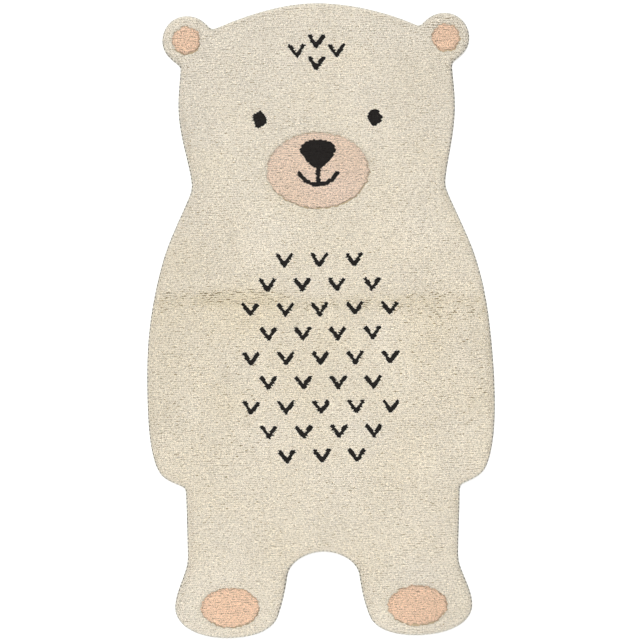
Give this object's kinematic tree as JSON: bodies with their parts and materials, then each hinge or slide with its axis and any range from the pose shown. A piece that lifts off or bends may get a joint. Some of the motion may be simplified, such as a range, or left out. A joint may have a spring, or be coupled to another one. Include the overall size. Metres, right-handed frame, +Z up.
{
  "type": "bear shaped kids rug",
  "caption": "Flat short-pile rug for a child's room, cut to the outline of a standing bear with ears, arms and legs, its edge whipped with yarn.",
  "frame": {"origin": "middle of the rug's box, on the floor that it lies on", "axes": "+Y from the feet to the head, +X across the rug, to the right seen from above with the head up, +Z up out of the pile"},
  "size_m": [0.7412, 1.35, 0.0148],
  "materials": {
    "cut_pile": "matt cream cotton cut pile",
    "whipping_yarn": "matt cream cotton yarn"
  },
  "bodies": {
    "root": {"tufted_body": "cut_pile", "edge_whipping": "whipping_yarn"}
  },
  "joints": []
}
